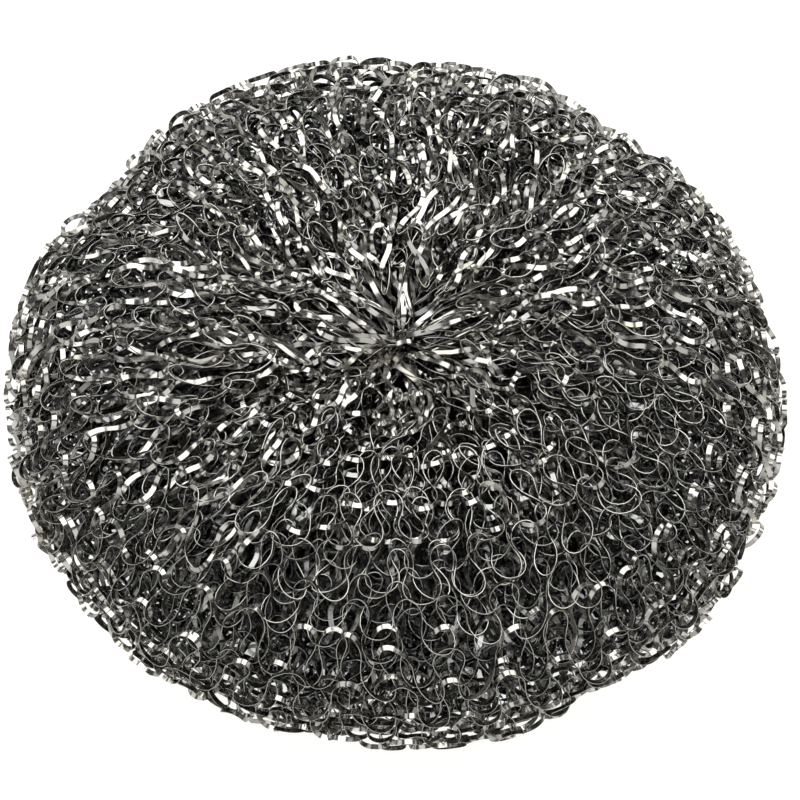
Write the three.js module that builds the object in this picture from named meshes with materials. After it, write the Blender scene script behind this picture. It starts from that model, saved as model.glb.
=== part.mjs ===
// Metal scourer: a tube knitted from one flat steel ribbon, rolled over itself into a round cushion
// and gathered in the middle of its top and of its underside. It is one piece.
// Millimetres, +Z up. The origin is on the table, under the middle of the cushion.
import * as THREE from "three";
import { mergeVertices } from "three/addons/utils/BufferGeometryUtils.js";

// The cushion, measured over the tips of its loops
const OUTER_DIAMETER = 76;
const HEIGHT = 31;
const RIM_HEIGHT = 14.5; // height of the widest place
const RIM_FULLNESS = 0.6; // 0.55 is a true ellipse, and more is squarer
const CROWN_DIAMETER = 38; // ring along which the top is highest
const LUMPS = [
  { waves: 2, swell: 0.5, turn: THREE.MathUtils.degToRad(-14) },
  { waves: 3, swell: 0.3, turn: THREE.MathUtils.degToRad(80) },
];

// The gathers that close the tube
const TOP_GATHER_DEPTH = 6.7; // below the crown
const TOP_GATHER_SHIFT = 0.9; // along X, because the tube was drawn together off its middle
const TOP_SHIFT_DIAMETER = 76; // outside this the shift has died away
const BASE_DIAMETER = 34; // flat where the cushion's weight rests on the table
const BASE_GATHER_DIAMETER = 16;
const BASE_GATHER_DEPTH = 4;
const THROAT_WIDTH_SHARE = 0.2; // how soon a funnel turns down from its lip towards the eye
const THROAT_RISE_SHARE = 0.42;
const BROW_WIDTH_SHARE = 0.6;
const GATHER_FULL_SHARE = 0.2; // of the lip's radius: inside this the knit is all pleats
const GATHER_END_SHARE = 0.6; // and outside this it is all open loops
const PLEAT_DEPTH = 2;
const PLEAT_DEPTH_PER_RADIUS = 0.5; // keeps a pleat shallower than its distance from the eye

// The knit
const WALES = 42; // loops round the cushion
const COURSE_HEIGHT = 4.8; // from one row of loops to the next
const LOOP_WAVE = 0.6; // heads rise and feet fall by this from the middle line of a course
const LOOP_HOLE_DEPTH = 4.5; // the hole inside a loop, from the tips in through several layers of the roll
const LOOP_LEG_DEPTH = 1.1; // the legs beside the hole lie this far under the tips
const COLUMNS_PER_WALE = 2; // one through the loops' holes, one along the legs between them
const ROWS_PER_COURSE = 2; // one along the tips of the loops, one through their holes

// The meridian, from the eye of the underside round the rim to the eye of the top
const PROFILE_DIVISIONS = 400;
const CORNERS_PER_QUAD = 6; // two triangles

const radius = OUTER_DIAMETER / 2;
const crownRadius = CROWN_DIAMETER / 2;
const baseRadius = BASE_DIAMETER / 2;
const baseGatherRadius = BASE_GATHER_DIAMETER / 2;
const topEyeHeight = HEIGHT - TOP_GATHER_DEPTH;
const topShiftRadius = TOP_SHIFT_DIAMETER / 2;

function point(r, z) {
  return new THREE.Vector2(r, z);
}

// A quarter of a rounded bulge, level where it is high or low and upright at the rim.
function bulge(from, to, levelEnd) {
  const corner = levelEnd === "from" ? point(to.x, from.y) : point(from.x, to.y);
  return new THREE.CubicBezierCurve(
    from,
    from.clone().lerp(corner, RIM_FULLNESS),
    to.clone().lerp(corner, RIM_FULLNESS),
    to,
  );
}

// A funnel from a level lip to the eye, where the knit is drawn together and runs down steeply.
function funnel(eye, lip) {
  const throatHeight = THREE.MathUtils.lerp(eye.y, lip.y, THROAT_RISE_SHARE);
  const throat = point(lip.x * THROAT_WIDTH_SHARE, throatHeight);
  const brow = point(lip.x * BROW_WIDTH_SHARE, lip.y);
  return [eye, throat, brow, lip];
}

function meridian() {
  const baseEye = point(0, BASE_GATHER_DEPTH);
  const baseLip = point(baseGatherRadius, 0);
  const baseEdge = point(baseRadius, 0);
  const rim = point(radius, RIM_HEIGHT);
  const crown = point(crownRadius, HEIGHT);
  const topEye = point(0, topEyeHeight);
  const path = new THREE.CurvePath();
  path.arcLengthDivisions = PROFILE_DIVISIONS;
  path.add(new THREE.CubicBezierCurve(...funnel(baseEye, baseLip)));
  path.add(new THREE.LineCurve(baseLip, baseEdge));
  path.add(bulge(baseEdge, rim, "from"));
  path.add(bulge(rim, crown, "to"));
  path.add(new THREE.CubicBezierCurve(...funnel(topEye, crown).reverse()));
  return path;
}

// How much of the surface is gathered into pleats: 1 at an eye, 0 from its lip outwards.
function gatherShare(r, lip) {
  return 1 - THREE.MathUtils.smoothstep(r, GATHER_FULL_SHARE * lip, GATHER_END_SHARE * lip);
}

// How far a vertex lies inside the tips: a hole in every loop, and pleats between the wales near an eye.
function reliefDepth(p, betweenTips, besideLoop) {
  const onBase = p.y === 0;
  if (onBase) return 0;
  const underside = p.y < RIM_HEIGHT;
  const lip = underside ? baseGatherRadius : crownRadius;
  const gathered = gatherShare(p.x, lip);
  const pleat = besideLoop ? Math.min(PLEAT_DEPTH, PLEAT_DEPTH_PER_RADIUS * p.x) : 0;
  const hole = besideLoop ? LOOP_LEG_DEPTH : LOOP_HOLE_DEPTH;
  return THREE.MathUtils.lerp(betweenTips ? hole : 0, pleat, gathered);
}

// The factor by which the plan swells at an angle, because a hand-sized cushion is never quite round.
function planSwell(angle) {
  const swell = LUMPS.reduce((sum, l) => sum + l.swell * Math.cos(l.waves * (angle - l.turn)), 0);
  return 1 + swell / radius;
}

// Turns the diagonal of every second quad of a lathe, so that eight triangles meet in each loop's hole.
function turnDiagonals(geometry, columns, rows) {
  const index = geometry.getIndex();
  const corner = (column, row) => column * (rows + 1) + row;
  for (let column = 0; column < columns; column += 1) {
    for (let row = 0; row < rows; row += 1) {
      if ((column + row) % 2 === 0) continue;
      const [a, b] = [corner(column, row), corner(column + 1, row)];
      const [c, d] = [corner(column + 1, row + 1), corner(column, row + 1)];
      const first = CORNERS_PER_QUAD * (column * rows + row);
      [a, b, c, a, c, d].forEach((vertex, i) => index.setX(first + i, vertex));
    }
  }
}

// A lathe of the meridian gives the grid of courses and wales, and each vertex then moves onto its loop.
function knittedCushion() {
  const path = meridian();
  const length = path.getLength();
  const rows = Math.round(length / COURSE_HEIGHT) * ROWS_PER_COURSE;
  const columns = WALES * COLUMNS_PER_WALE;
  const profile = [];
  for (let row = 0; row <= rows; row += 1) profile.push(path.getPointAt(row / rows));
  const geometry = new THREE.LatheGeometry(profile, columns);
  turnDiagonals(geometry, columns, rows);
  const position = geometry.getAttribute("position");

  for (let column = 0; column <= columns; column += 1) {
    const angle = (2 * Math.PI * (column % columns)) / columns;
    const besideLoop = column % COLUMNS_PER_WALE !== 0;
    for (let row = 0; row <= rows; row += 1) {
      const atEye = row === 0 || row === rows;
      const wave = atEye ? 0 : (besideLoop ? -LOOP_WAVE : LOOP_WAVE) / length;
      const share = row / rows + wave;
      const tip = path.getPointAt(share);
      const along = path.getTangentAt(share);
      const depth = atEye ? 0 : reliefDepth(tip, row % ROWS_PER_COURSE !== 0, besideLoop);
      const r = (tip.x - depth * along.y) * planSwell(angle);
      const z = tip.y + depth * along.x;
      const shiftShare = 1 - THREE.MathUtils.smoothstep(tip.x, 0, topShiftRadius);
      const shift = tip.y > RIM_HEIGHT ? TOP_GATHER_SHIFT * shiftShare : 0;
      const index = column * (rows + 1) + row;
      position.setXYZ(index, r * Math.cos(angle) + shift, r * Math.sin(angle), z);
    }
  }

  geometry.deleteAttribute("normal");
  geometry.deleteAttribute("uv");
  const closed = mergeVertices(geometry);
  closed.computeVertexNormals();
  return closed;
}

const flatSteelRibbon = new THREE.MeshStandardMaterial({
  color: 0x8f8f8a,
  metalness: 1,
  roughness: 0.3,
  flatShading: true,
});

const scourer = new THREE.Group();
const cushion = new THREE.Mesh(knittedCushion(), flatSteelRibbon);
cushion.name = "knitted_cushion";
scourer.add(cushion);

export default scourer;
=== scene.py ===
"""The looks of a metal scourer: a round cushion knitted from one flat steel ribbon.

The cushion is a tube in plain stitch, rolled over itself in several turns and gathered in the middle of its
top and of its underside. Each turn of the roll is a ribbon that runs as a helix of loops over that turn's
own surface, from the eye of the underside round the rim to the eye of the top.
Lengths are in millimetres until a mesh is made, and a mesh is in metres.
"""

import logging
import math
from dataclasses import dataclass, field, replace
from enum import Enum

import bpy
import numpy as np
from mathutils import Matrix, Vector


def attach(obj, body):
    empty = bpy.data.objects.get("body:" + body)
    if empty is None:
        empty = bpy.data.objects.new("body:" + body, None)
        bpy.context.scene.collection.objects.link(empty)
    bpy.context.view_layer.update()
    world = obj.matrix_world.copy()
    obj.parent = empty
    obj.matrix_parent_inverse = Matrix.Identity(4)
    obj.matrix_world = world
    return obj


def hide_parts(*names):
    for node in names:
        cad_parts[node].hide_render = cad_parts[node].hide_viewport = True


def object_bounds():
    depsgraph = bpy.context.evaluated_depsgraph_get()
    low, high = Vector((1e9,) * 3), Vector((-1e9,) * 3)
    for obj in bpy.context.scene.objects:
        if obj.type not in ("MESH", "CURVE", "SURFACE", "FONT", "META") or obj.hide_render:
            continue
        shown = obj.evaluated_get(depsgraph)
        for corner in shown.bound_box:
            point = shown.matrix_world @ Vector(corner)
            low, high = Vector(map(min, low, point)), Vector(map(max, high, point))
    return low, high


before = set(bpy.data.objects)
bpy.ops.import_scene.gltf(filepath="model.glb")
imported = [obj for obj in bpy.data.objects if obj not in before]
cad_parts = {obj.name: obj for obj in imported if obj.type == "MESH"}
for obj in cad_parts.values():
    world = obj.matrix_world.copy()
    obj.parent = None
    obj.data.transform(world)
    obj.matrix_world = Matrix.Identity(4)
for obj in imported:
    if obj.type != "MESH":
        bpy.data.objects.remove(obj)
cad_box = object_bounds()

Array = np.ndarray
Pair = tuple[float, float]
METRES = 0.001
# Added to a step along a path, so that one of no length still has a direction
TINY = 1e-9
# Sockets of a mix node by number, because its kinds of value share their names
MIX_FACTOR = 0
MIX_NUMBERS = (2, 3)
MIX_NUMBER_OUT = 0
MIX_COLOURS = (6, 7)
MIX_COLOUR_OUT = 2
CAD_NODE = "knitted_cushion"
CAD_BODY = "root"
log = logging.getLogger("scourer")


def linear(hex_colour: str) -> tuple[float, float, float, float]:
    """Turns an sRGB hex colour into the linear RGBA that a shader socket takes.

    Args:
        hex_colour: six hex digits, with or without a leading #.

    Returns:
        Linear red, green, blue, and an alpha of 1.
    """
    digits = hex_colour.lstrip("#")
    channels = [int(digits[i : i + 2], 16) / 255 for i in (0, 2, 4)]
    red, green, blue = (c / 12.92 if c <= 0.04045 else ((c + 0.055) / 1.055) ** 2.4 for c in channels)
    return red, green, blue, 1.0


def smoothstep(x: Array, low: float, high: float) -> Array:
    """Returns 0 on low's side, 1 on high's side, and a smooth cubic between them. Low may be the larger."""
    t = np.clip((x - low) / (high - low), 0, 1)
    return t * t * (3 - 2 * t)


def between(ends: Pair, share: Array) -> Array:
    """Returns what lies between two values: the first where the share is 0, the second where it is 1."""
    return ends[0] + (ends[1] - ends[0]) * share


def unit(vectors: Array) -> Array:
    """Returns the rows of an array scaled to length 1."""
    return vectors / np.linalg.norm(vectors, axis=-1, keepdims=True)


def bezier(start: tuple, first: tuple, second: tuple, end: tuple, count: int = 400) -> Array:
    """Samples a cubic Bezier curve.

    Args:
        start: where the curve begins.
        first: the handle of the beginning.
        second: the handle of the end.
        end: where the curve ends.
        count: number of samples.

    Returns:
        An array of count rows of coordinates: the Bernstein sum of the four points.
    """
    t = np.linspace(0, 1, count)[:, None]
    s = 1 - t
    points = [np.asarray(p, float) for p in (start, first, second, end)]
    return s**3 * points[0] + 3 * s * s * t * points[1] + 3 * s * t * t * points[2] + t**3 * points[3]


def wander(rng: np.random.Generator, count: int, spacing: float) -> Array:
    """A smooth random curve along a ribbon: a cubic B-spline through random knots, scaled to a spread of 1.

    Args:
        rng: source of the knots.
        count: number of samples.
        spacing: samples from one knot to the next.

    Returns:
        An array of count values.
    """
    place = np.arange(count) / spacing
    knot = np.floor(place).astype(int)
    t = place - knot
    values = rng.standard_normal(knot[-1] + 4)
    weights = ((1 - t) ** 3, 3 * t**3 - 6 * t**2 + 4, 3 * t * (1 + t - t * t) + 1, t**3)
    curve = sum(w * values[knot + i] for i, w in enumerate(weights)) / 6
    return curve / curve.std()


def bessel(order: int, x: Array, samples: int = 48) -> Array:
    """Returns the Bessel function of the first kind: the mean of cos(order a - x sin a) over a turn of a."""
    a = np.arange(samples) * 2 * np.pi / samples
    return np.cos(order * a - np.multiply.outer(x, np.sin(a))).mean(axis=-1)


class Gather(Enum):
    """The two places where the tube is drawn together."""

    UNDERSIDE = "underside"
    TOP = "top"


@dataclass(frozen=True)
class Lump:
    """One way in which the plan of the cushion departs from a circle.

    Attributes:
        waves: bulges round the plan.
        swell: height of a bulge.
        turn: angle of the first bulge, in degrees.
    """

    waves: int
    swell: float
    turn: float


@dataclass(frozen=True)
class Meridian:
    """The half section of a turn, from the eye of the underside to the eye of the top, at equal steps.

    Attributes:
        radius: distance from the axis.
        height: height above the table.
        along_radius: radius part of the unit vector along the section.
        along_height: height part of that vector.
        length: length of the section.
    """

    radius: Array
    height: Array
    along_radius: Array
    along_height: Array
    length: float

    def at(self, share: Array) -> tuple[Array, Array, Array, Array]:
        """Looks up places on the section.

        Args:
            share: places along the section, from 0 to 1.

        Returns:
            Radius, height, and the two parts of the unit vector along the section.
        """
        grid = np.linspace(0, 1, len(self.radius))
        parts = (self.radius, self.height, self.along_radius, self.along_height)
        return tuple(np.interp(share, grid, part) for part in parts)


@dataclass(frozen=True)
class CushionForm:
    """The surface over the tips of one turn's loops. The outermost turn has the CAD part's own sizes.

    Attributes:
        outer_diameter: of the rim.
        height: of the crown above the table.
        base_height: of the base above the table.
        rim_height: of the widest place.
        rim_fullness: how square the bulges are, where 0.55 is a true ellipse.
        crown_diameter: of the ring along which the top is highest.
        top_gather_depth: of the top's eye below the crown.
        top_gather_shift: of the top's eye from the axis, along X.
        base_diameter: of the flat base.
        base_gather_diameter: of the lip of the underside's gather.
        base_gather_rise: of the underside's eye above the base.
        throat_width: where a funnel turns down, as a share of its lip's radius.
        throat_rise: how high that is, as a share of the funnel's depth.
        brow_width: where a funnel leaves its level lip, as a share of the radius.
        core_depth: how far inside a turn would lie to have flat gathers.
        gather_full: share of a lip's radius inside which the knit is wholly drawn together.
        gather_end: share outside which it is open.
        lumps: how the plan departs from a circle.
    """

    outer_diameter: float = 76.0
    height: float = 31.0
    base_height: float = 0.0
    rim_height: float = 14.5
    rim_fullness: float = 0.6
    crown_diameter: float = 38.0
    top_gather_depth: float = 6.7
    top_gather_shift: float = 0.9
    base_diameter: float = 34.0
    base_gather_diameter: float = 16.0
    base_gather_rise: float = 4.0
    throat_width: float = 0.2
    throat_rise: float = 0.42
    brow_width: float = 0.6
    core_depth: float = 12.5
    gather_full: float = 0.25
    gather_end: float = 0.95
    lumps: tuple[Lump, ...] = (Lump(2, 0.5, -14.0), Lump(3, 0.3, 80.0))

    def inside(self, depth: float) -> "CushionForm":
        """Returns the surface of a turn that lies this far inside, with its gathers flatter in proportion."""
        left = 1 - depth / self.core_depth
        return replace(
            self,
            outer_diameter=self.outer_diameter - 2 * depth,
            height=self.height - depth,
            base_height=self.base_height + depth,
            top_gather_depth=self.top_gather_depth * left,
            base_gather_rise=self.base_gather_rise * left,
        )

    def _funnel(self, eye: Pair, lip: Pair) -> tuple[Pair, ...]:
        """Returns the four points of the curve from an eye, steep at first, to its level lip."""
        throat = (lip[0] * self.throat_width, eye[1] + (lip[1] - eye[1]) * self.throat_rise)
        brow = (lip[0] * self.brow_width, lip[1])
        return eye, throat, brow, lip

    def _bulge(self, start: Pair, end: Pair, corner: Pair) -> tuple[Pair, ...]:
        """Returns the four points of a quarter bulge that leans towards a corner."""
        lean = self.rim_fullness
        handles = [tuple(p[i] + (corner[i] - p[i]) * lean for i in (0, 1)) for p in (start, end)]
        return start, handles[0], handles[1], end

    def meridian(self, samples: int = 2400, base_samples: int = 100) -> Meridian:
        """Works out the section: a funnel, a flat base, two quarter bulges and a funnel, at equal steps.

        Args:
            samples: number of places along the section.
            base_samples: number of places on the flat base, before they are spread evenly.

        Returns:
            The section.
        """
        rim = (self.outer_diameter / 2, self.rim_height)
        crown = (self.crown_diameter / 2, self.height)
        base_lip = (self.base_gather_diameter / 2, self.base_height)
        base_edge = (self.base_diameter / 2, self.base_height)
        base_eye = (0.0, self.base_height + self.base_gather_rise)
        top_eye = (0.0, self.height - self.top_gather_depth)
        pieces = (
            bezier(*self._funnel(base_eye, base_lip)),
            np.linspace(base_lip, base_edge, base_samples),
            bezier(*self._bulge(base_edge, rim, (rim[0], base_edge[1]))),
            bezier(*self._bulge(rim, crown, (rim[0], crown[1]))),
            bezier(*self._funnel(top_eye, crown))[::-1],
        )
        path = np.concatenate([pieces[0], *[p[1:] for p in pieces[1:]]])
        steps = np.linalg.norm(np.diff(path, axis=0), axis=1)
        distance = np.concatenate([[0.0], np.cumsum(steps)])
        even = np.linspace(0, distance[-1], samples)
        radius, height = (np.interp(even, distance, path[:, i]) for i in (0, 1))
        along = unit(np.stack([np.gradient(radius), np.gradient(height)], axis=1))
        return Meridian(radius, height, along[:, 0], along[:, 1], float(distance[-1]))

    def swell(self, angle: Array) -> Array:
        """Returns the factor by which the plan is wider at an angle: one cosine wave for each lump."""
        waves = [lump.swell * np.cos(lump.waves * (angle - math.radians(lump.turn))) for lump in self.lumps]
        return 1 + sum(waves) / (self.outer_diameter / 2)

    def lip_radius(self, gather: Gather) -> float:
        """Returns the radius at which the surface turns in to a gather."""
        diameter = self.crown_diameter if gather is Gather.TOP else self.base_gather_diameter
        return diameter / 2

    def drawn(self, radius: Array, lip: Array | float) -> Array:
        """Returns how far the knit is drawn together: 1 round an eye, falling to 0 at its lip."""
        return 1 - smoothstep(radius / lip, self.gather_full, self.gather_end)


@dataclass(frozen=True)
class PlainKnit:
    """Plain stitch with its purl side out: the arcs lie outside, and the legs between them lie behind.

    Attributes:
        wales: loops round the cushion.
        loop_length: ribbon in one loop.
        course_height: from one course to the next.
        stretched: radii between which the knit goes from slack to stretched round the rim.
        overlap: how far a loop reaches past its course, up and down, where slack and where stretched.
        fullness: how far arcs bow out past the legs, slack and taut, as a share of free springy ribbon's bow.
        skew: half of what a foot is wider than a head, away from the rim and round it.
        drawn_in: radii between which loops are squeezed narrow by an eye.
        least_width: width of the narrowest loops, as a share.
        longest: length of the loops at an eye, as a share, because a loop drawn narrow grows long.
        leg_depth: how far the middle of a leg lies behind the arcs.
        swings: how far the ribbon's heading swings in the narrowest and in the widest loops, in radians.
        swing_samples: swings that are tried between those two.
    """

    wales: int = 42
    loop_length: float = 16.4
    course_height: float = 4.8
    stretched: Pair = (30.0, 37.0)
    overlap: Pair = (0.45, 0.9)
    fullness: Pair = (0.55, 0.9)
    skew: Pair = (0.2, 0.05)
    drawn_in: Pair = (2.5, 9.0)
    least_width: float = 0.25
    longest: float = 1.7
    leg_depth: float = 1.0
    swings: Pair = (2.4, 1.0)
    swing_samples: int = 100

    def stretch(self, radius: Array) -> Array:
        """Returns how far the knit is stretched: 0 where it is slack, 1 round the rim."""
        return smoothstep(radius, *self.stretched)

    def reach(self, radius: Array) -> Array:
        """Returns how far a loop stands above and below its row, in courses."""
        return 0.5 + between(self.overlap, self.stretch(radius)) / self.course_height

    def loop(self, t: Array, radius: Array, taut: Array) -> tuple[Array, Array]:
        """Works out the flat shape of the loops.

        Springy ribbon takes the curve whose heading swings as a sine along its length. The swing is the one
        that makes a loop as wide as its wale, so that narrow loops close up to rings. As sums of waves, the
        curve's two coordinates have Bessel functions of the swing as weights. A sine that swings once
        in a loop is added, because a head keeps the needle's radius and a foot takes the rest of the width.

        Args:
            t: phase of the loop, 0 at its foot and pi at its head.
            radius: distance of its row from the axis.
            taut: how taut the knit is, from 0 to 1.

        Returns:
            How far the ribbon lies from an even pace round the cushion, and its height from -1 to 1.
        """
        swings = np.linspace(*self.swings, self.swing_samples)
        width = 2 * np.pi * radius / self.wales
        swing = np.interp(width / self.loop_length, bessel(0, swings), swings)
        first, third = bessel(1, swing), bessel(3, swing) / 3
        bow = between(self.fullness, taut) * self.loop_length / (2 * np.pi) * bessel(2, swing)
        squeeze = self.least_width + (1 - self.least_width) * smoothstep(radius, *self.drawn_in)
        sideways = squeeze * (bow * np.sin(2 * t) + between(self.skew, self.stretch(radius)) * np.sin(t))
        return sideways, -(first * np.cos(t) + third * np.cos(3 * t)) / (first + third)

    def courses(self, section: Meridian) -> tuple[Array, int]:
        """Counts the courses along a section, where they grow longer towards an eye.

        Args:
            section: the section that the knit covers.

        Returns:
            The course number at each place of the section, and the whole number of courses on it.
        """
        drawn = 1 - smoothstep(section.radius, *self.drawn_in)
        per_place = 1 / (1 + (self.longest - 1) * drawn)
        counted = np.cumsum(per_place)
        counted = (counted - counted[0]) / (counted[-1] - counted[0])
        mean_height = self.course_height * len(counted) / np.sum(per_place)
        whole = round(section.length / mean_height)
        return counted * whole, whole


@dataclass(frozen=True)
class Unevenness:
    """How far springy ribbon strays from an even knit, as spreads. Leans are of its width, in degrees.

    Attributes:
        dents: of the whole surface, in and out, over several loops.
        dent_waves: fewest dents round the cushion, and the first number that is too many.
        pleats: folds of the gathered part, in and out.
        pleat_waves: the same numbers for pleats.
        drift: of the folds' phase along the whole section, in radians.
        loop: of each half loop, in every direction.
        row: of a row from its course.
        row_loops: loops over which a row strays to one side.
        slip: of a turn's wales from those of the turn outside it, in wales.
        slip_share: share of a round over which wales slip to one side.
        tilt: of each loop from upright, as a slope.
        slack: how much more loops stray where the knit is slackest.
        arc_lean: where the ribbon is bent round a needle.
        leg_lean: mean and spread in the middle of a leg, to either side, because a straight ribbon lies flat.
        taut_leg_lean: the same where the knit is taut and a leg stays on its edge.
        gathered_leg_lean: spread where the knit is gathered.
        foot_lean: mean and spread in the middle of a foot.
        slack_foot_lean: added to that mean where the knit is slackest.
        lying_foot_lean: mean where feet have fallen over onto their flat sides.
        head_lean: mean, where the knit is stretched, and spread in the middle of a head.
        shoulder_lean: added to that mean times the height part of the surface's normal.
        leg_power: power of the sine by which a leg twists over.
        foot_power: power of the cosine by which a foot lies over.
        head_power: the same for a head.
    """

    dents: float = 0.45
    dent_waves: tuple[int, int] = (3, 12)
    pleats: float = 2.9
    pleat_waves: tuple[int, int] = (9, 21)
    drift: float = 7.0
    loop: float = 0.3
    row: float = 0.4
    row_loops: int = 3
    slip: float = 0.15
    slip_share: float = 0.25
    tilt: float = 0.17
    slack: float = 1.0
    arc_lean: float = 10.0
    leg_lean: Pair = (78.0, 30.0)
    taut_leg_lean: Pair = (5.0, 8.0)
    gathered_leg_lean: float = 24.0
    foot_lean: Pair = (-22.0, 12.0)
    slack_foot_lean: float = -54.0
    lying_foot_lean: float = -90.0
    head_lean: Pair = (5.0, 12.0)
    shoulder_lean: float = 65.0
    leg_power: float = 1.5
    foot_power: int = 24
    head_power: int = 2


@dataclass(frozen=True)
class Patch:
    """A part of the cushion where the knit lies in its own way.

    Attributes:
        side: angle of its middle, in degrees.
        within: cosines from that angle at which it begins and is full.
        radii: distances from the axis at which it begins and is full.
    """

    side: float
    within: Pair
    radii: Pair

    def share(self, around: Array, radius: Array) -> Array:
        """Returns how far places at these angles and radii belong to it, from 0 to 1."""
        facing = np.cos(around - math.radians(self.side))
        return smoothstep(facing, *self.within) * smoothstep(radius, *self.radii)


@dataclass(frozen=True)
class Tension:
    """How the knit is drawn at each sample of a ribbon, as shares from 0 to 1.

    Attributes:
        loose: how slack it is.
        stretch: how far it is stretched round the rim.
        taut: how taut it is, round the rim or elsewhere.
        gathered: how far it is drawn together by a gather.
        lying: how far its feet have fallen over.
        upward: height part of the surface's normal, from -1 to 1.
    """

    loose: Array
    stretch: Array
    taut: Array
    gathered: Array
    lying: Array
    upward: Array


@dataclass
class RibbonPath:
    """The middle line of a ribbon, and the way that its width lies.

    Attributes:
        points: the middle line.
        across: unit vectors along the ribbon's width.
        facing: unit vectors out of its flat side.
    """

    points: Array
    across: Array
    facing: Array


@dataclass(frozen=True)
class FlatRibbon:
    """Flat wire: round wire that was rolled to a thin strip.

    Attributes:
        width: of the flat sides.
        thickness: between them.
        hug: how high above the table the ribbon begins to bend up from it.
    """

    width: float = 0.48
    thickness: float = 0.065
    hug: float = 0.25

    def mesh(self, name: str, path: RibbonPath, floor: float = 0.0) -> bpy.types.Mesh:
        """Carries the rectangular section along a path and closes both ends.

        A vertex is the middle line plus half a width across and half a thickness out of the flat side. What
        would pass through the table bends up from it, by a hyperbola that hugs the floor.

        Args:
            name: name of the mesh.
            path: the middle line with its frame.
            floor: height that nothing lies under.

        Returns:
            A closed mesh in metres, flat across and smooth along. Its attribute ribbon_mm holds each vertex's
            place along, across and through the ribbon, and flat_side the unit vector out of the flat side.
        """
        signs = np.array([(-1, -1), (1, -1), (1, 1), (-1, 1)], float)
        across = signs[None, :, :1] * path.across[:, None, :] * self.width / 2
        facing = signs[None, :, 1:] * path.facing[:, None, :] * self.thickness / 2
        corners = path.points[:, None, :] + across + facing
        rise = corners[:, :, 2] - floor
        corners[:, :, 2] = floor + (rise + np.sqrt(rise**2 + self.hug**2)) / 2
        count, lanes = corners.shape[:2]

        section, side = np.meshgrid(np.arange(count - 1), np.arange(lanes), indexing="ij")
        near, after = lanes * section, lanes * (section + 1)
        turn = (side + 1) % lanes
        quads = np.stack([near + side, near + turn, after + turn, after + side], axis=-1).reshape(-1, 4)
        caps = np.array([[0, 3, 2, 1], [0, 1, 2, 3]]) + np.array([[0], [lanes * (count - 1)]])
        faces = np.concatenate([quads, caps]).astype(np.int32)

        mesh = bpy.data.meshes.new(name)
        mesh.vertices.add(lanes * count)
        mesh.vertices.foreach_set("co", (corners * METRES).astype(np.float32).ravel())
        mesh.loops.add(faces.size)
        mesh.loops.foreach_set("vertex_index", faces.ravel())
        mesh.polygons.add(len(faces))
        mesh.polygons.foreach_set("loop_start", np.arange(0, faces.size, faces.shape[1], dtype=np.int32))
        mesh.update(calc_edges=True)

        ends = np.empty(2 * len(mesh.edges), np.int32)
        mesh.edges.foreach_get("vertices", ends)
        lane = ends.reshape(-1, 2) % lanes
        sharp = mesh.attributes.new("sharp_edge", "BOOLEAN", "EDGE")
        sharp.data.foreach_set("value", lane[:, 0] == lane[:, 1])

        steps = np.linalg.norm(np.diff(path.points, axis=0), axis=1)
        along = np.concatenate([[0.0], np.cumsum(steps)])
        place = np.zeros(corners.shape, np.float32)
        place[:, :, 0] = along[:, None]
        place[:, :, 1] = signs[:, 0] * self.width / 2
        place[:, :, 2] = signs[:, 1] * self.thickness / 2
        flat_side = np.repeat(path.facing[:, None, :], lanes, axis=1).astype(np.float32)
        for label, vectors in (("ribbon_mm", place), ("flat_side", flat_side)):
            attribute = mesh.attributes.new(label, "FLOAT_VECTOR", "POINT")
            attribute.data.foreach_set("vector", vectors.ravel())
        mesh.validate()
        return mesh


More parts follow.
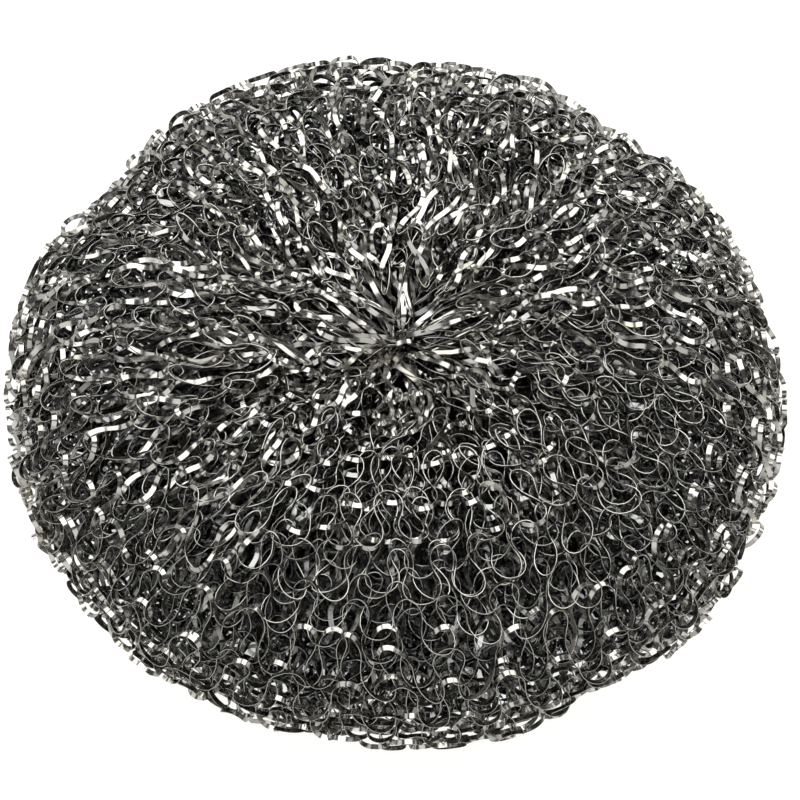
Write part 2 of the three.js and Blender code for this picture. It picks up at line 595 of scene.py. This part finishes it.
@dataclass
class KnittedTurn:
    """One turn of the rolled tube: a ribbon in a helix of loops over its own surface.

    Attributes:
        name: name of the piece.
        form: the surface over the tips of its loops.
        seed: of what is random in this turn alone.
        steps_per_loop: samples along one loop.
        knit: the stitch.
        ribbon: the ribbon's section.
        uneven: how far it strays.
        start_wale: where the first loop is, which sets this turn's rows between those of the others.
        fold_seed: of the dents and pleats, which all turns share.
        end_row: of the first row from an eye, in courses.
        eye_gap: that loops keep from an eye, in courses.
        crowded_radius: inside this there is less and less room for folds.
        arc_crowding: how far samples crowd together on the arcs.
        pulled: where the knit is pulled tight, because the tube was drawn together off its middle.
        lying: where feet have fallen over onto their flat sides.
    """

    name: str
    form: CushionForm
    seed: int
    steps_per_loop: int
    knit: PlainKnit = field(default_factory=PlainKnit)
    ribbon: FlatRibbon = field(default_factory=FlatRibbon)
    uneven: Unevenness = field(default_factory=Unevenness)
    start_wale: int = 0
    fold_seed: int = 7
    end_row: float = 0.35
    eye_gap: float = 0.03
    crowded_radius: float = 4.0
    arc_crowding: float = 0.3
    pulled: Patch = Patch(-65.0, (0.4, 0.75), (9.0, 17.0))
    lying: Patch = Patch(-95.0, (0.45, 0.75), (26.0, 22.5))

    def _folds(self, rng: np.random.Generator, angle: Array, course: Array, waves: Array) -> Array:
        """Sums cosine waves round the cushion that drift slowly from course to course.

        Args:
            rng: source of their drifts and phases, the same for every turn, because the turns fold together.
            angle: place round the cushion.
            course: place along the section, from 0 to 1.
            waves: whole numbers of waves round the cushion, one for each cosine.

        Returns:
            The sum, scaled to a spread of 1.
        """
        drift = rng.normal(0, self.uneven.drift, len(waves))
        phase = rng.uniform(0, 2 * np.pi, len(waves))
        turns = waves[:, None] * angle + drift[:, None] * course + phase[:, None]
        total = np.cos(turns).sum(axis=0)
        return total / total.std()

    def _lean(self, rng: np.random.Generator, t: Array, tension: Tension) -> Array:
        """Works out how far the ribbon's width leans from upright.

        An arc stands near its edge, because it was bent round a needle, and wavers. A leg twists by its own
        amount times a power of sin t, and a foot or head lies over by its own amount times a power of cos t.
        The higher the power, the shorter the place in the middle that lies over.

        Args:
            rng: source of each leg's, foot's and head's amount.
            t: phase of the loops, 0 at the first foot.
            tension: how the knit is drawn.

        Returns:
            The lean in radians. It is positive where the outer edge leans away from the top.
        """
        uneven = self.uneven
        leg = np.floor(t / np.pi).astype(int)
        arc = np.rint(t / np.pi).astype(int)
        sides = rng.choice((-1.0, 1.0), leg[-1] + 2)
        leg_mean, leg_spread = (
            between(ends, tension.taut) for ends in zip(uneven.leg_lean, uneven.taut_leg_lean)
        )
        leg_spread = leg_spread + (uneven.gathered_leg_lean - leg_spread) * tension.gathered
        leg_lean = sides[leg] * leg_mean + rng.standard_normal(len(sides))[leg] * leg_spread
        leg_lean = leg_lean * np.abs(np.sin(t)) ** uneven.leg_power
        feet = rng.normal(*uneven.foot_lean, arc[-1] + 1)
        foot_lean = feet[arc] * (1 - tension.stretch) + uneven.slack_foot_lean * tension.loose**2
        fallen = uneven.lying_foot_lean + feet[arc] - uneven.foot_lean[0]
        foot_lean = (foot_lean + (fallen - foot_lean) * tension.lying) * np.cos(t) ** uneven.foot_power
        heads = rng.normal(0, uneven.head_lean[1], arc[-1] + 1)
        over = uneven.head_lean[0] + uneven.shoulder_lean * tension.upward
        head_lean = (heads[arc] + over * tension.stretch) * np.cos(t) ** uneven.head_power
        arc_lean = np.where(arc % 2 == 0, foot_lean, head_lean)
        half_loop = self.steps_per_loop / 2
        waver = wander(rng, len(t), half_loop) * uneven.arc_lean
        return np.radians(waver + leg_lean + arc_lean)

    def path(self) -> RibbonPath:
        """Lays the ribbon in loops.

        With t going once round the circle for each loop, a loop stands half a course and its overlap above
        and below its row, but never past an eye. It swings sideways as the knit says, and goes behind where
        loops cross, so that its arcs lie outside and its legs inside. Wales become angles, courses become
        places on the section, and random wander is added. Samples crowd together on the arcs.

        Returns:
            The ribbon's middle line, with its width near upright on the surface.
        """
        rng = np.random.default_rng(self.seed)
        uneven = self.uneven
        section = self.form.meridian()
        counted, courses = self.knit.courses(section)
        shares = np.linspace(0, 1, len(counted))
        loops = round((courses - 2 * self.end_row) * self.knit.wales)
        count = loops * self.steps_per_loop + 1
        pace = 2 * np.pi * np.arange(count) / self.steps_per_loop
        t = pace - self.arc_crowding / 2 * np.sin(2 * pace)
        loop = t / (2 * np.pi)

        row = self.end_row + (courses - 2 * self.end_row) * loop / loops
        row_radius = section.at(np.interp(row, counted, shares))[0]
        loose = self.form.drawn(row_radius, self.form.outer_diameter / 2)
        stray = uneven.loop * (1 + uneven.slack * loose)
        half_loop = self.steps_per_loop / 2
        steps_per_round = self.knit.wales * self.steps_per_loop
        strays = [wander(rng, count, half_loop) * stray for _ in range(3)]
        slip = wander(rng, count, steps_per_round * uneven.slip_share) * uneven.slip
        angle = 2 * np.pi * (loop + slip + self.start_wale) / self.knit.wales
        stretch = self.knit.stretch(row_radius)
        taut = np.maximum(np.sqrt(stretch), self.pulled.share(angle, row_radius))
        sideways, rise = self.knit.loop(t, row_radius, taut)
        to_eye = np.where(rise > 0, courses - row, row) - self.eye_gap
        rise = np.minimum(self.knit.reach(row_radius), to_eye) * rise
        off_row = strays[0] + wander(rng, count, uneven.row_loops * self.steps_per_loop) * uneven.row
        course = row + rise + off_row / self.knit.course_height
        course = np.clip(course, self.eye_gap / 2, courses - self.eye_gap / 2)
        radius, height, along_r, along_z = section.at(np.interp(course, counted, shares))

        on_top = height > self.form.rim_height
        lips = np.where(on_top, self.form.lip_radius(Gather.TOP), self.form.lip_radius(Gather.UNDERSIDE))
        gathered = self.form.drawn(radius, lips)
        fold_rng = np.random.default_rng(self.fold_seed)
        along = course / courses
        dents = self._folds(fold_rng, angle, along, np.arange(*uneven.dent_waves)) * uneven.dents
        pleats = self._folds(fold_rng, angle, along, np.arange(*uneven.pleat_waves)) * uneven.pleats
        room = np.clip(radius / self.crowded_radius, 0, 1)
        tilt = wander(rng, count, self.steps_per_loop) * uneven.tilt * (1 + uneven.slack * loose)
        sideways = sideways + strays[1] + tilt * rise * self.knit.course_height
        depth = self.ribbon.width / 2 + self.knit.leg_depth * np.sin(t) ** 2 - strays[2]
        depth = depth + (dents * (1 - gathered) + pleats * gathered) * room
        depth = np.maximum(depth, 0.0)

        spread = (radius - depth * along_z) * self.form.swell(angle)
        shift = self.form.top_gather_shift * on_top * self.form.drawn(radius, self.form.outer_diameter / 2)
        cos, sin = np.cos(angle), np.sin(angle)
        points = np.stack(
            [
                spread * cos - sideways * sin + shift,
                spread * sin + sideways * cos,
                height + depth * along_r,
            ],
            axis=1,
        )
        upright = np.stack([along_z * cos, along_z * sin, -along_r], axis=1)
        tension = Tension(loose, stretch, taut, gathered, self.lying.share(angle, row_radius), -along_r)
        return self._framed(points, upright, self._lean(rng, t, tension))

    def _framed(self, points: Array, upright: Array, lean: Array) -> RibbonPath:
        """Sets the ribbon's width across its path, near upright.

        Args:
            points: the middle line.
            upright: the surface's normal at each point.
            lean: turn of the width about the path, in radians.

        Returns:
            The path with its frame: the normal made square to the path, then turned by the lean.
        """
        along = unit(np.gradient(points, axis=0) + TINY)
        across = unit(upright - (upright * along).sum(axis=1, keepdims=True) * along)
        facing = np.cross(along, across)
        cos, sin = np.cos(lean)[:, None], np.sin(lean)[:, None]
        across, facing = across * cos + facing * sin, facing * cos - across * sin
        return RibbonPath(points, across, facing)

    def build(self, finish: "RolledSteel") -> bpy.types.Object:
        """Makes the turn, dresses it in a finish and joins it to the frame."""
        return dressed(self.ribbon.mesh(self.name, self.path()), finish)


@dataclass(frozen=True)
class DrawnEnd:
    """A free end of the ribbon that was drawn through the last loops to close an eye, and lies flat on them.

    Attributes:
        name: name of the piece.
        form: the surface on which it lies.
        curve: start, two handles and end of its middle line, measured from the eye of the top.
        ribbon: the ribbon's section.
        samples: places along the curve.
    """

    name: str
    form: CushionForm
    curve: tuple[tuple[float, float, float], ...]
    ribbon: FlatRibbon = field(default_factory=FlatRibbon)
    samples: int = 60

    def build(self, finish: "RolledSteel") -> bpy.types.Object:
        """Makes the end: a Bezier curve with the ribbon's width square to it and level.

        Args:
            finish: the ribbon's finish.

        Returns:
            The end, riding on the CAD part's body in place of its solid.
        """
        eye = np.array([self.form.top_gather_shift, 0.0, self.form.height - self.form.top_gather_depth])
        points = eye + bezier(*self.curve, count=self.samples)
        along = unit(np.gradient(points, axis=0))
        across = unit(np.cross(np.array([0.0, 0.0, 1.0]), along))
        path = RibbonPath(points, across, np.cross(along, across))
        return dressed(self.ribbon.mesh(self.name, path), finish)


def dressed(mesh: bpy.types.Mesh, finish: "RolledSteel") -> bpy.types.Object:
    """Gives a mesh its finish and joins it to the frame.

    Args:
        mesh: the piece's mesh, which gives it its name.
        finish: the ribbon's finish.

    Returns:
        The piece, riding on the CAD part's body in place of its solid.
    """
    mesh.materials.append(finish.material())
    piece = bpy.data.objects.new(mesh.name, mesh)
    bpy.context.scene.collection.objects.link(piece)
    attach(piece, CAD_BODY)
    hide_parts(CAD_NODE)
    log.info("%s: %d triangles", mesh.name, 2 * len(mesh.polygons))
    return piece


def add_node(tree: bpy.types.NodeTree, kind: str, inputs: dict | None = None, **settings) -> bpy.types.Node:
    """Adds a shader node.

    Args:
        tree: the node tree that takes it.
        kind: Blender's name of the node's type.
        inputs: for each input, by name or number, a value or the socket that feeds it.
        settings: the node's own properties.

    Returns:
        The node.
    """
    node = tree.nodes.new(kind)
    for name, value in settings.items():
        setattr(node, name, value)
    for key, value in (inputs or {}).items():
        if isinstance(value, bpy.types.NodeSocket):
            tree.links.new(value, node.inputs[key])
        else:
            node.inputs[key].default_value = value
    return node


@dataclass(frozen=True)
class RolledSteel:
    """Bright flat wire of stainless steel, cold rolled between polished rollers.

    Rolling leaves fine lines along the strip and a mirror between them, so a flat side flashes white where it
    meets a lamp and is dark elsewhere. Grease leaves it duller and warmer in patches, and heat tints a few
    short places. The thin edges were squeezed round, so they catch light from many sides as fine lines.
    An edge's normal is its own normal plus the flat side's, times how far it lies from the middle.

    Attributes:
        name: name of the material.
        bright: colour of clean steel.
        dull: colour of greasy steel.
        tint: colour of the heated places.
        tint_length: their length.
        tint_from: values of their noise between which the tint sets in.
        patch_length: length of the greasy patches.
        roll_line_spacing: between roll lines. Real ones are finer, and these are as coarse as still shows.
        roll_line_length: of one line.
        line_contrast: values of the lines' noise at which they are smooth and worn.
        kink_length: between slight kinks, which break a flat side's reflection.
        kink_height: of a kink.
        smooth: roughness of the mirror between the lines.
        worn: roughness of the lines.
        edge: roughness of the edges.
        edge_roundness: how much of the flat side's normal is mixed in at an edge's border.
        edge_reach: share of the half thickness that counts as edge.
        thickness: of the ribbon.
    """

    name: str = "bright_cold_rolled_steel_ribbon"
    bright: str = "#A2A1A5"
    dull: str = "#8A8774"
    tint: str = "#744A46"
    tint_length: float = 3.0
    tint_from: Pair = (0.77, 0.81)
    patch_length: float = 9.0
    roll_line_spacing: float = 0.09
    roll_line_length: float = 6.0
    line_contrast: Pair = (0.3, 0.7)
    kink_length: float = 2.6
    kink_height: float = 0.05
    smooth: float = 0.1
    worn: float = 0.24
    edge: float = 0.14
    edge_roundness: float = 0.4
    edge_reach: float = 0.9
    thickness: float = FlatRibbon.thickness

    def material(self) -> bpy.types.Material:
        """Returns the finish's material, made on the first call."""
        made = bpy.data.materials.get(self.name)
        if made is not None:
            return made
        material = bpy.data.materials.new(self.name)
        material.use_nodes = True
        tree = material.node_tree
        shader = tree.nodes["Principled BSDF"]
        place = add_node(tree, "ShaderNodeAttribute", attribute_name="ribbon_mm").outputs["Vector"]
        noise = "ShaderNodeTexNoise"
        patches, heat, kinks = (
            add_node(tree, noise, {"Vector": place, "Scale": 1 / length, "Detail": detail}).outputs["Fac"]
            for length, detail in ((self.patch_length, 2.0), (self.tint_length, 0.0), (self.kink_length, 1.0))
        )
        line_scale = (1 / self.roll_line_length, 1 / self.roll_line_spacing, 1 / self.roll_line_spacing)
        stretched = add_node(tree, "ShaderNodeVectorMath", {0: place, 1: line_scale}, operation="MULTIPLY")
        lines = add_node(tree, noise, {"Vector": stretched.outputs[0], "Scale": 1.0, "Detail": 1.0})
        first, second = MIX_COLOURS
        colour = add_node(
            tree,
            "ShaderNodeMix",
            {MIX_FACTOR: patches, first: linear(self.bright), second: linear(self.dull)},
            data_type="RGBA",
        ).outputs[MIX_COLOUR_OUT]
        tinted = add_node(
            tree,
            "ShaderNodeMapRange",
            {"Value": heat, "From Min": self.tint_from[0], "From Max": self.tint_from[1]},
        )
        colour = add_node(
            tree,
            "ShaderNodeMix",
            {MIX_FACTOR: tinted.outputs["Result"], first: colour, second: linear(self.tint)},
            data_type="RGBA",
        ).outputs[MIX_COLOUR_OUT]
        rough = add_node(
            tree,
            "ShaderNodeMapRange",
            {
                "Value": lines.outputs["Fac"],
                "From Min": self.line_contrast[0],
                "From Max": self.line_contrast[1],
                "To Min": self.smooth,
                "To Max": self.worn,
            },
        )
        height = add_node(tree, "ShaderNodeSeparateXYZ", {0: place}).outputs["Z"]
        from_middle = add_node(tree, "ShaderNodeMath", {0: height}, operation="ABSOLUTE").outputs[0]
        near_middle = self.edge_reach * self.thickness / 2
        on_edge = add_node(
            tree, "ShaderNodeMath", {0: from_middle, 1: near_middle}, operation="LESS_THAN"
        ).outputs[0]
        flat, edge = MIX_NUMBERS
        gloss = add_node(
            tree,
            "ShaderNodeMix",
            {MIX_FACTOR: on_edge, flat: rough.outputs["Result"], edge: self.edge},
        ).outputs[MIX_NUMBER_OUT]
        steepest = 2 * self.edge_roundness / self.thickness
        to_flat = add_node(tree, "ShaderNodeMath", {0: height, 1: steepest}, operation="MULTIPLY").outputs[0]
        on_bend = add_node(tree, "ShaderNodeMath", {0: to_flat, 1: on_edge}, operation="MULTIPLY").outputs[0]
        flat_side = add_node(tree, "ShaderNodeAttribute", attribute_name="flat_side").outputs["Vector"]
        outward = add_node(tree, "ShaderNodeNewGeometry").outputs["Normal"]
        bent = add_node(
            tree, "ShaderNodeVectorMath", {0: flat_side, 1: on_bend, 2: outward}, operation="MULTIPLY_ADD"
        )
        rounded = add_node(tree, "ShaderNodeVectorMath", {0: bent.outputs[0]}, operation="NORMALIZE")
        bump = add_node(
            tree,
            "ShaderNodeBump",
            {"Height": kinks, "Distance": self.kink_height * METRES, "Normal": rounded.outputs[0]},
        )
        shader.inputs["Metallic"].default_value = 1.0
        tree.links.new(colour, shader.inputs["Base Color"])
        tree.links.new(gloss, shader.inputs["Roughness"])
        tree.links.new(bump.outputs["Normal"], shader.inputs["Normal"])
        return material


@dataclass(frozen=True)
class Softbox:
    """A square studio lamp with a white cloth front, aimed at the cushion.

    Attributes:
        name: name of the lamp.
        azimuth: where it stands, in degrees from the camera's side, to the right.
        elevation: how high it stands, in degrees.
        distance: from the cushion, in metres.
        size: side of the cloth, in metres.
        radiance: brightness of the cloth.
    """

    name: str
    azimuth: float
    elevation: float
    distance: float
    size: float
    radiance: float

    def build(self, target: Vector) -> bpy.types.Object:
        """Sets up the lamp.

        Args:
            target: the point that it is aimed at, in metres.

        Returns:
            The lamp. Its power is pi times its area times its radiance, as for any matt emitter.
        """
        data = bpy.data.lights.new(self.name, "AREA")
        data.size = self.size
        data.energy = math.pi * self.size**2 * self.radiance
        lamp = bpy.data.objects.new(self.name, data)
        bpy.context.scene.collection.objects.link(lamp)
        away = direction(self.azimuth, self.elevation)
        lamp.location = target + away * self.distance
        lamp.rotation_euler = away.to_track_quat("Z", "Y").to_euler()
        return lamp


def direction(azimuth: float, elevation: float) -> Vector:
    """Returns the unit vector to a place, by degrees to the right of the camera's side and degrees up."""
    a, e = math.radians(azimuth), math.radians(elevation)
    return Vector((math.sin(a) * math.cos(e), -math.cos(a) * math.cos(e), math.sin(e)))


@dataclass(frozen=True)
class Studio:
    """The pale floor, the lamps and the camera. Lengths are in metres.

    Attributes:
        elevation: of the camera, in degrees.
        distance: of the camera from the cushion.
        focal_pixels: the lens, in pixels of the picture.
        frame_pixels: side of the picture.
        sensor: width of the camera's sensor, in millimetres.
        middle_pixel: where the cushion's middle falls.
        floor_size: side of the floor.
        floor_colour: of the acrylic.
        floor_roughness: of its matt face.
        floor_specular: how much it shines.
        glow_colour: of the light through it.
        floor_glow: strength of that light.
        painted_shadow_radii: distances from the middle over which the floor's glow rises from none to full.
            Inside them it is painted shadow: the floor is left unlit under the cushion, so that no light
            shines up into the knit.
        painted_shadow_middle: middle of that painted shadow.
        wall_radiance: brightness of the room at the cushion's height.
        ceiling_radiance: brightness of the room above.
        ceiling_from: height part of the direction from which that is full.
        lamps: the softboxes.
    """

    elevation: float = 58.0
    distance: float = 0.6
    focal_pixels: float = 6100.0
    frame_pixels: float = 800.0
    sensor: float = 36.0
    middle_pixel: Pair = (394.0, 393.0)
    floor_size: float = 8.0
    floor_colour: str = "#7C7C7A"
    floor_roughness: float = 0.9
    floor_specular: float = 0.1
    glow_colour: str = "#FAFAF8"
    floor_glow: float = 0.95
    painted_shadow_radii: Pair = (0.022, 0.035)
    painted_shadow_middle: tuple[float, float, float] = (0.0, 0.006, 0.0)
    wall_radiance: float = 0.13
    ceiling_radiance: float = 0.12
    ceiling_from: float = 0.8
    lamps: tuple[Softbox, ...] = (
        Softbox("overhead_softbox", 0.0, 86.0, 1.4, 1.5, 4.4),
        Softbox("back_panel", 180.0, 20.0, 2.2, 1.2, 1.0),
        Softbox("left_panel", -130.0, 32.0, 1.6, 1.1, 3.4),
        Softbox("right_panel", 130.0, 32.0, 1.6, 1.2, 3.8),
        Softbox("left_fill", -72.0, 24.0, 1.6, 1.0, 1.8),
        Softbox("right_fill", 72.0, 24.0, 1.6, 1.0, 1.4),
        Softbox("front_fill", 0.0, 20.0, 1.8, 1.4, 1.9),
    )

    def build(self, middle: Vector) -> None:
        """Makes the floor, the lamps, the dim room and the camera.

        Args:
            middle: the middle of the cushion's box, in metres.
        """
        self._floor()
        for lamp in self.lamps:
            lamp.build(middle)
        self._room()
        self._camera(middle)
        bpy.context.scene.view_settings.view_transform = "Standard"

    def _floor(self) -> None:
        """Lays a light table: opal acrylic lit from below, so that hardly a shadow shows. Its glow is cut
        away under the cushion as a painted shadow.
        """
        half = self.floor_size / 2
        corners = [(-half, -half, 0.0), (half, -half, 0.0), (half, half, 0.0), (-half, half, 0.0)]
        mesh = bpy.data.meshes.new("floor")
        mesh.from_pydata(corners, [], [(0, 1, 2, 3)])
        material = bpy.data.materials.new("back_lit_opal_acrylic")
        material.use_nodes = True
        shader = material.node_tree.nodes["Principled BSDF"]
        shader.inputs["Base Color"].default_value = linear(self.floor_colour)
        shader.inputs["Roughness"].default_value = self.floor_roughness
        shader.inputs["Specular IOR Level"].default_value = self.floor_specular
        shader.inputs["Emission Color"].default_value = linear(self.glow_colour)
        tree = material.node_tree
        place = add_node(tree, "ShaderNodeTexCoord").outputs["Object"]
        # Painted shadow: the glow falls to nothing within a disc under the cushion
        reach = add_node(
            tree, "ShaderNodeVectorMath", {0: place, 1: self.painted_shadow_middle}, operation="DISTANCE"
        ).outputs["Value"]
        glow = add_node(
            tree,
            "ShaderNodeMapRange",
            {"Value": reach, "From Min": self.painted_shadow_radii[0], "From Max": self.painted_shadow_radii[1], "To Max": self.floor_glow},
            interpolation_type="SMOOTHSTEP",
        )
        tree.links.new(glow.outputs["Result"], shader.inputs["Emission Strength"])
        mesh.materials.append(material)
        floor = bpy.data.objects.new("floor", mesh)
        bpy.context.scene.collection.objects.link(floor)

    def _room(self) -> None:
        """Sets the dim grey light of the room."""
        world = bpy.data.worlds.new("dim_room")
        world.use_nodes = True
        tree = world.node_tree
        background = tree.nodes["Background"]
        background.inputs["Color"].default_value = (1, 1, 1, 1)
        toward = add_node(tree, "ShaderNodeTexCoord").outputs["Generated"]
        up = add_node(tree, "ShaderNodeSeparateXYZ", {0: toward}).outputs["Z"]
        strength = add_node(
            tree,
            "ShaderNodeMapRange",
            {
                "Value": up,
                "From Max": self.ceiling_from,
                "To Min": self.wall_radiance,
                "To Max": self.ceiling_radiance,
            },
            interpolation_type="SMOOTHSTEP",
        )
        tree.links.new(strength.outputs["Result"], background.inputs["Strength"])
        bpy.context.scene.world = world

    def _camera(self, middle: Vector) -> None:
        """Sets the camera so that the cushion's middle falls on its pixel of the square frame.

        Args:
            middle: the middle of the cushion's box, in metres.
        """
        data = bpy.data.cameras.new("camera")
        data.sensor_width = self.sensor
        data.lens = self.sensor * self.focal_pixels / self.frame_pixels
        camera = bpy.data.objects.new("camera", data)
        bpy.context.scene.collection.objects.link(camera)
        away = direction(0.0, self.elevation)
        turn = away.to_track_quat("Z", "Y")
        off_axis = [p - self.frame_pixels / 2 for p in self.middle_pixel]
        per_pixel = self.distance / self.focal_pixels
        aim = middle + turn @ Vector((-off_axis[0] * per_pixel, off_axis[1] * per_pixel, 0.0))
        camera.location = aim + away * self.distance
        camera.rotation_euler = turn.to_euler()
        bpy.context.scene.camera = camera


def main() -> None:
    """Builds the turns of the roll, from the outermost inwards, the drawn ends and the studio."""
    logging.basicConfig(level=logging.INFO, format="%(message)s")
    bright = RolledSteel()
    # Painted shade: the third and fourth turns get the same steel painted darker, and the turns inside them
    # darker still, for the shadow deep in the roll
    shade_painted = RolledSteel("shade_painted_cold_rolled_steel_ribbon", bright="#828286", dull="#6E6D62")
    deep_shade_painted = RolledSteel("deep_shade_painted_cold_rolled_steel_ribbon", bright="#58585B", dull="#484740")
    outer = CushionForm()
    # Inside the roll the ribbon is pressed flatter, and the innermost turns let no light through
    covered = Unevenness(leg_lean=(65.0, 30.0))
    hidden = Unevenness(
        leg_lean=(55.0, 30.0), foot_lean=(0.0, 6.0), head_lean=(5.0, 8.0), shoulder_lean=0.0
    )
    packed = replace(hidden, taut_leg_lean=(75.0, 25.0))
    turns = (
        (KnittedTurn("outer_turn", outer, 11, 28), bright),
        (KnittedTurn("second_turn", outer.inside(0.6), 12, 26, uneven=covered, start_wale=21), bright),
        (KnittedTurn("third_turn", outer.inside(1.3), 13, 24, uneven=hidden, start_wale=10), shade_painted),
        (KnittedTurn("fourth_turn", outer.inside(2.1), 14, 22, uneven=packed, start_wale=31), shade_painted),
        (KnittedTurn("fifth_turn", outer.inside(3.1), 15, 20, uneven=packed, start_wale=5), deep_shade_painted),
        (KnittedTurn("sixth_turn", outer.inside(4.6), 16, 18, uneven=packed, start_wale=26), deep_shade_painted),
        (KnittedTurn("seventh_turn", outer.inside(7.0), 17, 16, uneven=packed, start_wale=15), deep_shade_painted),
        (KnittedTurn("innermost_turn", outer.inside(9.6), 18, 14, uneven=packed, start_wale=36), deep_shade_painted),
    )
    for turn, finish in turns:
        turn.build(finish)
    ends = (
        ("end_across_eye", ((-1.5, -0.2, -0.6), (-1.0, 0.0, 1.2), (1.0, 0.4, 1.2), (1.5, 0.3, -0.6))),
        ("end_beside_eye", ((1.0, -1.2, -0.4), (1.8, -1.3, 1.4), (3.8, -1.2, 2.6), (6.0, -0.8, 2.8))),
    )
    for name, curve in ends:
        DrawnEnd(name, outer, curve).build(bright)
    low, high = cad_box
    Studio().build((low + high) / 2)


if __name__ == "__main__":
    main()
